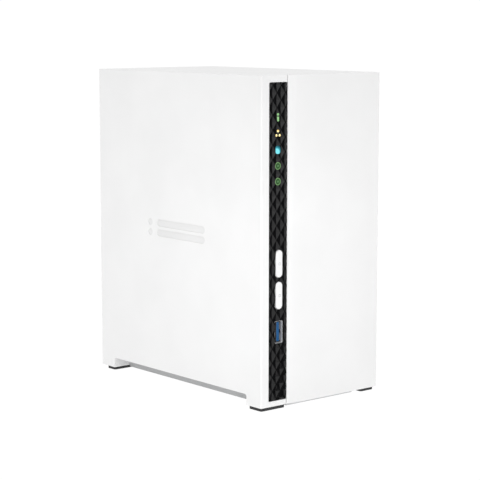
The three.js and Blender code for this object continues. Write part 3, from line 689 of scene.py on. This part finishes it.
def strip():
    """The dark strip: its lozenge relief, and its holes for lights, buttons and the port."""
    low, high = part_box("bezel_strip")
    made = lozenge_sheet(low, high)
    made.name = made.data.name = "strip_relief"
    middle = (low + high) / 2
    size = (high.x - low.x, high.z - low.z)
    outline = rounded((middle.x, middle.z), size, 0.8 * MM)
    body = prism("body", "y", outline, low.y - 1 * MM, high.y)
    shaped(made, "INTERSECT", [body])
    through = (low.y - 2 * MM, high.y + 2 * MM)
    cutters = []
    for name in LIGHTS:
        for k, shape in enumerate(light_outlines(name)):
            cutters.append(prism(f"{name}_{k}", "y", grown(shape, 0.12 * MM), *through))
    for node in BUTTONS:
        cutters.append(prism(node, "y", grown(button_outline(node), 0.25 * MM), *through))
    port_low, port_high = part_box("front_usb_shell")
    port = (port_low + port_high) / 2
    port_size = (port_high.x - port_low.x, port_high.z - port_low.z)
    port_outline = rounded((port.x, port.z), port_size, 0.5 * MM)
    cutters.append(prism("port", "y", grown(port_outline, 0.04 * MM), *through))
    shaped(made, "DIFFERENCE", cutters)
    made.data.shade_flat()
    finished(made, "chassis", DARK, ["bezel_strip"])


def lights():
    """The lit faces of the light guides."""
    green, dull_green, leaf = (0.3, 0.6, 0.24), (0.1, 0.22, 0.09), (0.17, 0.32, 0.13)
    dim_green = (0.004, 0.03, 0.002)
    amber, deep_amber = (1.35, 1.2, 0.6), (0.85, 0.5, 0.1)
    cyan, teal, deep_teal = (0.22, 0.85, 0.92), (0.02, 0.3, 0.38), (0.0, 0.04, 0.05)
    green_glow = ((0.0, green), (1.0, tinted(green, 0.7)))
    amber_glow = ((0.45, amber), (1.0, deep_amber))
    cyan_glow = ((0.15, cyan), (0.4, cyan), (0.55, teal), (0.8, deep_teal))
    dot = ((0.0, dull_green), (0.26, dull_green), (0.36, dim_green))
    ring = ((0.78, dim_green), (0.84, leaf))
    drive = ((0.02, 0.05, 0.02), (0, 0), DRIVE_LIGHT["disc"], dot + ring)
    # Each has its colour unlit, where its glow is centred, how far that reaches, and its stops.
    looks = {
        "status": ((0.05, 0.1, 0.05), (0, 0), 3.2 * MM, green_glow),
        "network": ((0.12, 0.09, 0.02), (0, -0.4), 2.6 * MM, amber_glow),
        "usb": ((0.01, 0.04, 0.05), (-0.9, -1.2), 4.2 * MM, cyan_glow),
        "drive_1": drive,
        "drive_2": drive,
    }
    for name, (colour, (across, up), reach, stops) in looks.items():
        node = f"{name}_light_guide"
        low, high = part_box(node)
        middle = (low + high) / 2
        face, back = low.y + 0.15 * MM, low.y + 2.4 * MM
        if name.startswith("drive"):
            disc, edge = DRIVE_LIGHT["disc"], 0.12 * MM
            out, into, sunk = (DRIVE_LIGHT[key] for key in ("groove_out", "groove_in", "groove"))
            profile = [(into, face), (into, face + sunk), (out, face + sunk), (out, face)]
            profile += [(disc - edge, face), (disc, face + edge), (disc, back)]
            made = turned(f"{name}_light", (middle.x, middle.z), profile)
        else:
            bm = bmesh.new()
            for shape in light_outlines(name):
                add_prism(bm, "y", shape, face, back, 0.15 * MM)
            made = object_of(f"{name}_light", bm)
        point = (middle.x + across * MM, face, middle.z + up * MM)
        material = lit(f"{name}_glow", colour, point, reach, *stops)
        finished(smoothed(made), "chassis", material, [node])


def buttons():
    """The two long buttons: a crowned cap, its flange and its stem, and a grey symbol on each."""
    for node in BUTTONS:
        low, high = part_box(node)
        middle = (low + high) / 2
        at = (middle.x, middle.z)
        outline = button_outline(node)
        flange_front, flange_back = low.y + 2.95 * MM, low.y + 4.15 * MM
        stem = rounded(at, (2.6 * MM, 2.6 * MM), 1.28 * MM, 12)
        made = stepped(
            f"{node}_cap",
            "y",
            (outline, low.y, flange_front, 0.7 * MM, 0, 6),
            (grown(outline, 0.78 * MM), flange_front, flange_back, 0.1 * MM, 0.1 * MM),
            (stem, flange_back, high.y, 0, 0.3 * MM),
        )
        finished(smoothed(made), node, BUTTON, [node])
        reach = (low.y - 0.01 * MM, low.y + 0.1 * MM)
        if node == "power_button":
            outer, inner = circle(at, 0.8 * MM), circle(at, 0.55 * MM)
        else:
            side = 1.5 * MM
            outer = rounded(at, (side, side), 0.3 * MM)
            inner = grown(outer, -0.25 * MM)
        symbol = frame_round(f"{node}_symbol", outer, inner, *reach)
        finished(smoothed(symbol), node, SYMBOL)


def mark():
    """The inlay of the plain storage mark in the left side: two rows, each a bar and a dot."""
    bm = bmesh.new()
    thick, clear = 4.2 * MM, 0.08 * MM
    bar_from, bar_to, dot = FRONT + 51 * MM, FRONT + 97 * MM, FRONT + 103.5 * MM
    face, back = LEFT + 0.18 * MM, LEFT + 0.34 * MM
    for z in (92.2 * MM, 98.2 * MM):
        size, round_end = (bar_to - bar_from, thick), thick / 2.01
        bar = rounded(((bar_from + bar_to) / 2, z), size, round_end, 12)
        add_prism(bm, "x", grown(bar, -clear), face, back, 0.05 * MM)
        add_prism(bm, "x", circle((dot, z), thick / 2 - clear), face, back, 0.05 * MM)
    finished(smoothed(object_of("mark_inlay", bm)), "chassis", MARK)


# Ports -------------------------------------------------------------------------------------------
PORTS = {
    "front_usb": (1, (BLUE, "blue_plastic")),
    "rear_usb_a": (-1, (BLACK, "black_plastic")),
    "rear_usb_b": (-1, (BLACK, "black_plastic")),
}
SHELL_WALL = 0.38 * MM
WINDOW = {"start": 0.9 * MM, "end": 2.7 * MM, "height": 2.0 * MM}
TONGUE = {"left": 1.7 * MM, "thick": 2.05 * MM, "tall": 11.2 * MM}


def usb_shell(port, facing):
    """A drawn steel shell with a rolled mouth, a window in each side, and spring fingers."""
    low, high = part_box(f"{port}_shell")
    middle = (low + high) / 2
    mouth, end = (low.y, high.y) if facing == 1 else (high.y, low.y)
    outer = rounded((middle.x, middle.z), (high.x - low.x, high.z - low.z), 0.7 * MM)
    lip, steps = SHELL_WALL / 2, 6
    rings = [(outer(), end)]
    for i in range(steps + 1):
        turn = math.pi * i / steps
        rings.append((outer(lip * (1 - math.cos(turn))), mouth + facing * lip * (1 - math.sin(turn))))
    rings.append((outer(SHELL_WALL), end - facing * SHELL_WALL))
    made = loft(f"{port}_sleeve", [[Vector((a, y, b)) for a, b in ring] for ring, y in rings])

    def depth(amount):
        return mouth + facing * amount * MM

    at = (mouth + facing * (WINDOW["start"] + WINDOW["end"]) / 2, middle.z)
    window = rounded(at, (WINDOW["end"] - WINDOW["start"], WINDOW["height"]), 0.3 * MM, 3)
    cutters = [prism("window", "x", window, low.x - 1 * MM, high.x + 1 * MM)]
    for side in (-1, 1):
        along = (depth(3) + depth(8.4)) / 2
        slot = rounded((along, middle.z + side * 3.6 * MM), (5.4 * MM, 2.2 * MM), 0.3 * MM, 3)
        cutters.append(prism("slot", "x", slot, low.x - 1 * MM, high.x + 1 * MM))
    shaped(made, "DIFFERENCE", cutters)

    bm = bmesh.new()
    thick = 0.22 * MM
    # How far in from the wall and how deep each finger runs.
    route = [(0.0, 8.6), (0.1, 7.4), (0.5, 5.2), (0.68, 4.4), (0.6, 3.8), (0.3, 3.2)]
    for wall, inward in ((low.x + 0.08 * MM, 1), (high.x - 0.08 * MM, -1)):
        edge = [(wall + inward * dip * MM, depth(y)) for dip, y in route]
        back = [(x + inward * thick, y) for x, y in reversed(edge)]
        for side in (-1, 1):
            z = middle.z + side * 3.6 * MM
            ends = (z - 0.8 * MM, z + 0.8 * MM)
            add_loft(bm, [[Vector((x, y, level)) for x, y in edge + back] for level in ends])
    shaped(made, "UNION", [object_of("fingers", bm)])
    finished(smoothed(made), "chassis", PORT_STEEL, [f"{port}_shell"])


def usb_port(port, facing, tongue_material, tongue_slot):
    """A port: its shell, the tongue on its base, black blocks of painted shade in its mouth, and the
    contacts.
    """
    usb_shell(port, facing)
    low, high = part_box(f"{port}_tongue")
    middle = (low + high) / 2
    mouth, end = (low.y, high.y) if facing == 1 else (high.y, low.y)
    base_front = end - facing * 3 * MM
    thick, tall = TONGUE["thick"], TONGUE["tall"]
    left = low.x + TONGUE["left"]
    tongue = rounded((left + thick / 2, middle.z), (thick, tall), 0.35 * MM)
    base = rounded((middle.x, middle.z), (high.x - low.x, high.z - low.z), 0.35 * MM)
    made = stepped(
        f"{port}_insert",
        "y",
        (tongue, mouth, base_front, 0.3 * MM),
        (base, base_front, end, 0.1 * MM, 0.1 * MM),
    )
    finished(smoothed(made), "chassis", tongue_material, [f"{port}_tongue"])

    # Painted shade: black blocks where the inside of the port lies in shade, a block at each end of the
    # tongue, a plate along its left side, and a block in each window.
    bm = bmesh.new()
    near, far = sorted((mouth + facing * 0.2 * MM, base_front - facing * 0.1 * MM))
    guide, shade_plate_half = 0.55 * MM, tall / 2 - 0.1 * MM
    for z in (low.z, high.z - guide):
        corner = Vector((low.x + 0.1 * MM, near, z))
        add_block(bm, corner, Vector((left + thick + 1.2 * MM, far, z + guide)))
    corner = Vector((left - 0.75 * MM, near, middle.z - shade_plate_half))
    add_block(bm, corner, Vector((left + 0.05 * MM, far, middle.z + shade_plate_half)))
    shell_low, shell_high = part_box(f"{port}_shell")
    near, far = sorted((mouth + facing * WINDOW["start"], mouth + facing * WINDOW["end"]))
    window_shade_thick, half = SHELL_WALL - 0.1 * MM, WINDOW["height"] / 2
    for x in (shell_low.x + 0.02 * MM, shell_high.x - SHELL_WALL + 0.08 * MM):
        corner = Vector((x, near, middle.z - half))
        add_block(bm, corner, Vector((x + window_shade_thick, far, middle.z + half)))
    finished(smoothed(object_of(f"{port}_painted_shade_blocks", bm)), "chassis", BLACK)

    bm = bmesh.new()
    start, stop = mouth + facing * 0.9 * MM, base_front - facing * 0.2 * MM
    face = left + thick
    for k in range(4):
        z = middle.z + (k - 1.5) * 2.4 * MM
        contact = rounded(((start + stop) / 2, z), (abs(stop - start), 1.0 * MM), 0.2 * MM, 3)
        add_prism(bm, "x", contact, face + 0.1 * MM, face - 0.1 * MM, 0.05 * MM)
    finished(smoothed(object_of(f"{port}_contacts", bm)), "chassis", GOLD)


def jack_contacts():
    """The eight spring wires in the network socket."""
    low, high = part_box("network_jack")
    middle_z = (low.z + high.z) / 2
    bm = bmesh.new()
    wire, pitch = 0.35 * MM, 1.02 * MM
    floor_x = low.x + 2 * MM
    route = [(0.1, -11.8), (0.15, -9.0), (2.6, -3.2), (2.9, -2.7), (2.7, -2.3), (1.6, -1.6)]
    for k in range(8):
        z = middle_z + (k - 3.5) * pitch
        edge = [(floor_x + x * MM, high.y + y * MM) for x, y in route]
        back = [(x + wire, y) for x, y in reversed(edge)]
        ends = (z - wire / 2, z + wire / 2)
        add_loft(bm, [[Vector((x, y, level)) for x, y in edge + back] for level in ends])
    finished(smoothed(object_of("jack_contacts", bm)), "chassis", GOLD)


def sorted_from(ring, middle, start):
    """A ring's points in order of their angle round the middle, beginning at start."""
    full = 2 * math.pi
    return sorted(ring, key=lambda p: (math.atan2(p.z - middle.z, p.x - middle.x) - start) % full)


def inlet():
    """The round power socket: a square body behind the panel, a nose, and a pin on its axis."""
    low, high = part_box("power_inlet")
    middle = (low + high) / 2
    at = (middle.x, middle.z)
    side = high.x - low.x
    behind_panel = low.y + 11.7 * MM
    body = rounded(at, (side, side), 0.8 * MM, 11)
    nose = circle(at, 4.6 * MM)
    bore = circle(at, 3.2 * MM)
    floor = low.y + 3 * MM
    stages = [
        *stage_rings("y", body, low.y, behind_panel, 0.3 * MM, 0.3 * MM),
        *stage_rings("y", nose, behind_panel, high.y, 0, 0.35 * MM),
        *stage_rings("y", lambda inset=0.0: bore(-inset), high.y, floor, 0.25 * MM),
    ]
    made = loft("inlet_socket", [sorted_from(ring, middle, math.pi / 4) for ring in stages])
    finished(smoothed(made), "chassis", BLACK, ["power_inlet"])

    low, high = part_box("power_inlet_pin")
    radius = 1 * MM
    dome = [(radius * math.cos(a), high.y - radius * (1 - math.sin(a))) for a in (0, 0.4, 0.8, 1.2)]
    profile = [(radius, low.y), *dome]
    pin = turned("inlet_pin", at, profile, steps=32)
    finished(smoothed(pin), "chassis", PORT_STEEL, ["power_inlet_pin"])


# Fasteners ---------------------------------------------------------------------------------------
SCREWS = [f"fan_screw_{up}_{side}" for up in ("upper", "lower") for side in ("left", "right")]
SCREWS += ["cover_screw_upper", "cover_screw_lower"]


def screw(node):
    """A low-headed screw with a thread and a cross recess."""
    low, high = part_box(node)
    middle = (low + high) / 2
    at = (middle.x, middle.z)
    head, thick = (high.x - low.x) / 2, 1.1 * MM
    crest, root, pitch = 1.3 * MM, 1.0 * MM, 0.6 * MM
    head_front = high.y - thick
    turns = int((head_front - low.y - 1.2 * MM) / pitch)
    profile = [(0.5 * MM, low.y)]
    for k in range(turns):
        y = low.y + 0.6 * MM + k * pitch
        profile += [(root, y), (crest, y + pitch / 2)]
    profile += [(root, head_front - 0.2 * MM), (root, head_front), (head, head_front)]
    crown = 0.45 * MM
    for inset, along in reversed(edge_profile(crown, 4)):
        profile.append((head - inset, high.y - along))
    made = turned(f"{node}_turned", at, profile, steps=32)
    arm, width, deep = 3.0 * MM, 0.62 * MM, 0.65 * MM
    cutters = []
    for size in ((arm, width), (width, arm)):
        outline = rounded(at, size, 0.15 * MM, 3)
        cutters.append(prism("recess", "y", outline, high.y - deep, high.y + 1 * MM))
    shaped(made, "DIFFERENCE", cutters)
    finished(smoothed(made, 40), "chassis", SCREW_STEEL, [node])


# Fan ---------------------------------------------------------------------------------------------
FAN_BORE, FAN_HOLE, HUB = 28.6 * MM, 25 * MM, 12.4 * MM
BLADE = {"count": 7, "chord": 16.5 * MM, "pitch": 0.68, "camber": 1.6 * MM, "sweep": 0.35}
BLADE_ROOT, BLADE_TIP = 11.4 * MM, 26.9 * MM


def fan_housing():
    """The fan's square frame: two flanges on a duct, four arms and the motor's round mount."""
    low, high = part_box("fan_frame")
    middle = (low + high) / 2
    at = (middle.x, middle.z)
    side, flange = high.x - low.x, 3.5 * MM
    square = rounded(at, (side, side), 4 * MM)
    duct = circle(at, side / 2 - 0.2 * MM, 96)
    made = prism("fan_housing", "y", duct, low.y + 1 * MM, high.y - 1 * MM)
    flanges = [
        prism("flange", "y", square, low.y, low.y + flange, 0.3 * MM, 0.3 * MM),
        prism("flange", "y", square, high.y - flange, high.y, 0.3 * MM, 0.3 * MM),
    ]
    shaped(made, "UNION", flanges)
    through = (low.y - 1 * MM, high.y + 1 * MM)
    cutters = [prism("bore", "y", circle(at, FAN_BORE, 96), *through)]
    for sx in (-1, 1):
        for sz in (-1, 1):
            hole = circle((at[0] + sx * FAN_HOLE, at[1] + sz * FAN_HOLE), 1.7 * MM, 24)
            cutters.append(prism("hole", "y", hole, *through))
    shaped(made, "DIFFERENCE", cutters)
    reach = (high.y - 3 * MM, high.y - 0.5 * MM)
    long = 2 * FAN_BORE + 1 * MM
    arms = [
        prism("mount", "y", circle(at, HUB, 64), *reach, 0.2 * MM, 0.2 * MM),
        prism("arm", "y", rounded(at, (3 * MM, long), 0.4 * MM, 3), *reach, 0.2 * MM, 0.2 * MM),
        prism("arm", "y", rounded(at, (long, 3 * MM), 0.4 * MM, 3), *reach, 0.2 * MM, 0.2 * MM),
    ]
    shaped(made, "UNION", arms)
    finished(smoothed(made), "chassis", BLACK, ["fan_frame"])


def blade(at, middle_y, lean):
    """One curved blade, at an angle round the point at."""
    chord, pitch, camber = BLADE["chord"], BLADE["pitch"], BLADE["camber"]
    rim, belly = 0.12 * MM, 0.5 * MM
    stations, points = 8, 10
    bm = bmesh.new()
    rings = []
    for i in range(stations):
        share = i / (stations - 1)
        radius = BLADE_ROOT + (BLADE_TIP - BLADE_ROOT) * share
        ring = []
        for k in range(2 * points):
            s = k / points - 0.5 if k < points else 1.5 - k / points
            face = 1 if k < points else -1
            full = max(0.0, 1 - 4 * s * s)
            thick = face * (rim + belly * math.sqrt(full))
            around = s * chord * math.cos(pitch) - thick * math.sin(pitch)
            along = s * chord * math.sin(pitch) + camber * full + thick * math.cos(pitch)
            angle = lean + BLADE["sweep"] * share + around / radius
            x, z = at[0] + radius * math.cos(angle), at[1] + radius * math.sin(angle)
            ring.append(Vector((x, middle_y + along, z)))
        rings.append(ring)
    add_loft(bm, rings)
    bmesh.ops.triangulate(bm, faces=bm.faces)
    return object_of("blade", bm)


def fan_wheel():
    """The fan's wheel: a round hub and its curved blades."""
    low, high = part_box("fan_rotor")
    axis = middle_of("fan_frame")
    at = (axis.x, axis.z)
    made = prism("fan_wheel", "y", circle(at, HUB, 96), low.y, high.y, 1.2 * MM, 0.3 * MM)
    for k in range(BLADE["count"]):
        lean = 2 * math.pi * k / BLADE["count"]
        shaped(made, "UNION", [blade(at, (low.y + high.y) / 2, lean)])
    finished(smoothed(made, 40), "fan_rotor", BLACK, ["fan_rotor"])


def smooth_route(points, steps=8):
    """Points along a smooth curve through the given points."""
    ends = [2 * points[0] - points[1], *points, 2 * points[-1] - points[-2]]
    made = []
    for a, b, c, d in zip(ends, ends[1:], ends[2:], ends[3:]):
        for t in (i / steps for i in range(steps)):
            bend = 2 * a - 5 * b + 4 * c - d
            made.append((2 * b + (c - a) * t + bend * t**2 + (3 * b - a - 3 * c + d) * t**3) / 2)
    return [*made, points[-1]]


WIRE = {"radius": 0.42 * MM, "offset": 0.5 * MM, "turns": 2}


def add_wire(bm, route, radius, offset, phase, turns, sides=10):
    """A round wire that winds round a route, at an offset from it."""
    normal = Vector((1, 0, 0))
    last = len(route) - 1
    angles = [2 * math.pi * k / sides for k in range(sides)]
    rings = []
    for i, point in enumerate(route):
        tangent = (route[min(i + 1, last)] - route[max(i - 1, 0)]).normalized()
        normal = (normal - tangent * normal.dot(tangent)).normalized()
        side = tangent.cross(normal)
        turn = phase + 2 * math.pi * turns * i / last
        middle = point + (normal * math.cos(turn) + side * math.sin(turn)) * offset
        rings.append([middle + (normal * math.cos(a) + side * math.sin(a)) * radius for a in angles])
    add_loft(bm, rings)


def fan_lead():
    """The fan's three twisted wires, from the top of its frame to the plug on the board."""
    frame_low, frame_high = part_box("fan_frame")
    plug_low, plug_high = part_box("fan_plug")
    plug = (plug_low + plug_high) / 2
    x, y, top = (frame_low.x + frame_high.x) / 2 - 27 * MM, 64 * MM, frame_high.z
    route = smooth_route(
        [
            Vector((x, y, top + 0.3 * MM)),
            Vector((x, y, top + 5 * MM)),
            Vector((x - 2 * MM, y, plug.z - 2 * MM)),
            Vector((plug.x, 60 * MM, plug.z)),
            Vector((plug.x, plug_high.y + 0.3 * MM, plug.z)),
        ]
    )
    wires = {"black": BLACK, "red": RED, "yellow": YELLOW}
    for k, (name, material) in enumerate(wires.items()):
        bm = bmesh.new()
        add_wire(bm, route, WIRE["radius"], WIRE["offset"], 2 * math.pi * k / len(wires), WIRE["turns"])
        made = smoothed(object_of(f"fan_wire_{name}", bm))
        finished(made, "chassis", material, ["fan_lead"] if k == 0 else ())


# Inside ------------------------------------------------------------------------------------------
def board_parts():
    """Rows of small chips and capacitors on both faces of the main board."""
    low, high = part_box("main_board")
    chips, capacitors = bmesh.new(), bmesh.new()
    for k in range(12):
        y = low.y + (12 + 10.5 * k) * MM
        size = Vector((0.7, 3.2 if k % 3 else 5.4, 2.4)) * MM
        corner = Vector((high.x, y, high.z - 4.2 * MM))
        add_block(chips if k % 2 else capacitors, corner, corner + size)
    for row, z in enumerate((60, 72, 84, 148, 160)):
        for k in range(9):
            y = (-56 + 11 * k + 3 * (row % 2)) * MM
            size = Vector((0.8, 1.8 + 0.9 * (k % 3), 1.4 + 0.5 * (row % 2))) * MM
            corner = Vector((low.x - size.x, y, z * MM))
            add_block(capacitors if (k + row) % 2 else chips, corner, corner + size)
    finished(smoothed(object_of("board_chips", chips)), "chassis", BLACK)
    finished(smoothed(object_of("board_capacitors", capacitors)), "chassis", CERAMIC)


def inner_details():
    """The battery, and a blank label on each drive's lid."""
    low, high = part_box("clock_battery")
    middle = (low + high) / 2
    outline = circle((middle.y, middle.z), 9.9 * MM, 64)
    cell = prism("battery_cell", "x", outline, low.x, high.x, 0.5 * MM)
    finished(smoothed(cell), "chassis", PORT_STEEL, ["clock_battery"])
    for bay in ("drive_1", "drive_2"):
        low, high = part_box(f"{bay}_lid")
        middle = (low + high) / 2
        size = ((high.y - low.y) * 0.72, (high.z - low.z) * 0.62)
        label = rounded((middle.y, middle.z), size, 3 * MM)
        made = prism(f"{bay}_label", "x", label, high.x + 0.05 * MM, high.x - 0.05 * MM)
        finished(smoothed(made), "chassis", LABEL)


camera()
studio()
for node, (material, slot) in CARRIED.items():
    refined(node, material)
strip()
lights()
buttons()
mark()
for port, (facing, tongue_look) in PORTS.items():
    usb_port(port, facing, *tongue_look)
jack_contacts()
inlet()
for node in SCREWS:
    screw(node)
fan_housing()
fan_wheel()
fan_lead()
board_parts()
inner_details()
